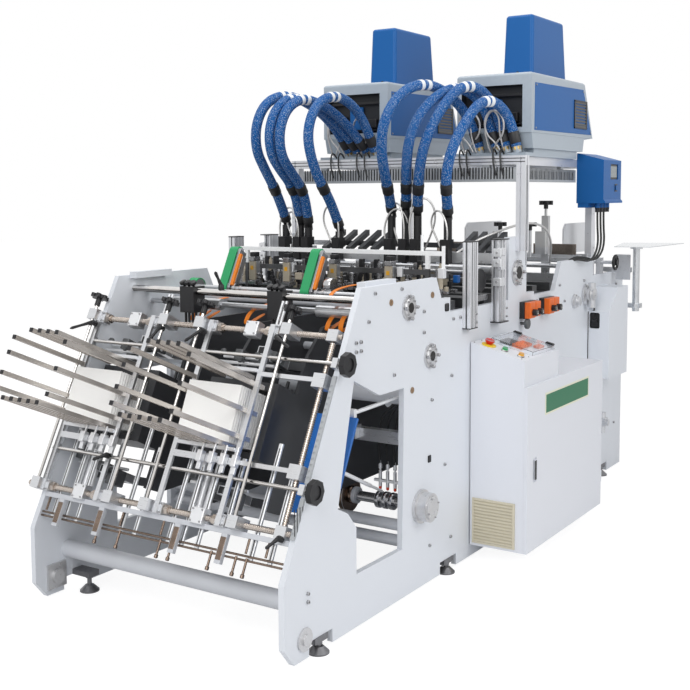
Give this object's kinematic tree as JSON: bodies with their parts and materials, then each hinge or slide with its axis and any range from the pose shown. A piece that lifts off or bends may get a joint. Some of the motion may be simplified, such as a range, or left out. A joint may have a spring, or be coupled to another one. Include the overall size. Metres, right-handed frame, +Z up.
{
  "type": "tray forming machine",
  "caption": "Floor-standing machine that folds and glues flat board blanks into open trays in two lanes, with melt tanks, hoses, discharge racks and a control cabinet.",
  "frame": {"origin": "middle of the footprint at floor level", "axes": "+Z up, +Y from the discharge racks towards the feeder, +X towards the control cabinet side"},
  "size_m": [1.779, 4.1766, 2.714],
  "materials": {
    "white_paint": "satin powder coat",
    "grey_paint": "satin paint",
    "dark_steel": "blackened",
    "bronze_screw": "rolled thread",
    "chrome": "polished",
    "satin_aluminium": "anodised",
    "white_board": "coated board",
    "green_belt": "flat belt",
    "black_plastic": "moulded",
    "grey_case": "satin",
    "blue_case": "satin",
    "clear_cover": "clear acrylic",
    "orange_switch": "moulded",
    "blue_hose": "woven sleeve",
    "beige_grille": "moulded",
    "black_knob": "moulded"
  },
  "bodies": {
    "frame": {"bearing_flanges": "chrome", "bridge_frame": "satin_aluminium", "cabinet_case": "white_paint", "cage_tubes": "chrome", "controller": "blue_case", "cross_rods": "chrome", "cross_tubes": "grey_paint", "feed_table": "satin_aluminium", "feeder_frame": "satin_aluminium", "gear_cases": "white_paint", "glue_guns": "black_plastic", "guide_posts": "satin_aluminium", "head_belts": "green_belt", "head_frames": "grey_paint", "hoppers": "blue_case", "hose_1": "blue_hose", "hose_2": "blue_hose", "hose_3": "blue_hose", "hose_4": "blue_hose", "hose_5": "blue_hose", "hose_6": "blue_hose", "hose_7": "blue_hose", "hose_8": "blue_hose", "lead_screws": "bronze_screw", "levelling_feet": "dark_steel", "pneumatics": "satin_aluminium", "rack_uprights": "satin_aluminium", "rear_guard": "white_paint", "side_plate_far": "white_paint", "side_plate_near": "white_paint", "switches": "orange_switch", "tanks": "grey_case", "tray_stacks": "white_board", "vent_grilles": "beige_grille", "wire_duct": "grey_paint"},
    "cabinet_door": {"cabinet_door": "white_paint"},
    "console_cover": {"console_cover": "clear_cover"},
    "handwheel_upper": {"handwheel_upper": "black_knob"},
    "handwheel_lower": {"handwheel_lower": "black_knob"},
    "star_knob_1": {"star_knob_1": "black_knob"},
    "star_knob_2": {"star_knob_2": "black_knob"},
    "star_knob_3": {"star_knob_3": "black_knob"},
    "star_knob_4": {"star_knob_4": "black_knob"},
    "feeder_knob": {"feeder_knob": "black_knob"},
    "feeder_handwheel": {"feeder_handwheel": "black_knob"}
  },
  "joints": [
    {"name": "cabinet_door_hinge", "type": "hinge", "parent": "frame", "child": "cabinet_door", "pos_m": [0.8715, 0.62629, 0.467], "axis": [0, 0, 1], "range_deg": [0, 110]},
    {"name": "console_cover_hinge", "type": "hinge", "parent": "frame", "child": "console_cover", "pos_m": [0.7389, 0.02529, 1.0268], "axis": [-0.9693, 0, 0.2461], "range_deg": [0, 105]},
    {"name": "handwheel_upper_turn", "type": "hinge", "parent": "frame", "child": "handwheel_upper", "pos_m": [0.6155, -1.51797, 1.09917], "axis": [1, 0, 0], "continuous": true},
    {"name": "handwheel_lower_turn", "type": "hinge", "parent": "frame", "child": "handwheel_lower", "pos_m": [0.6155, -1.74768, 0.65507], "axis": [1, 0, 0], "continuous": true},
    {"name": "star_knob_1_turn", "type": "hinge", "parent": "frame", "child": "star_knob_1", "pos_m": [-0.7525, -1.46014, 1.27192], "axis": [0, 0.4594, 0.8882], "continuous": true},
    {"name": "star_knob_2_turn", "type": "hinge", "parent": "frame", "child": "star_knob_2", "pos_m": [-0.3265, -1.46014, 1.27192], "axis": [0, 0.4594, 0.8882], "continuous": true},
    {"name": "star_knob_3_turn", "type": "hinge", "parent": "frame", "child": "star_knob_3", "pos_m": [-0.1265, -1.46014, 1.27192], "axis": [0, 0.4594, 0.8882], "continuous": true},
    {"name": "star_knob_4_turn", "type": "hinge", "parent": "frame", "child": "star_knob_4", "pos_m": [0.3235, -1.46014, 1.27192], "axis": [0, 0.4594, 0.8882], "continuous": true},
    {"name": "feeder_knob_turn", "type": "hinge", "parent": "frame", "child": "feeder_knob", "pos_m": [0.4285, 0.90929, 1.69], "axis": [0, 0, 1], "continuous": true},
    {"name": "feeder_handwheel_turn", "type": "hinge", "parent": "frame", "child": "feeder_handwheel", "pos_m": [0.6715, 1.40929, 1.331], "axis": [1, 0, 0], "continuous": true}
  ]
}
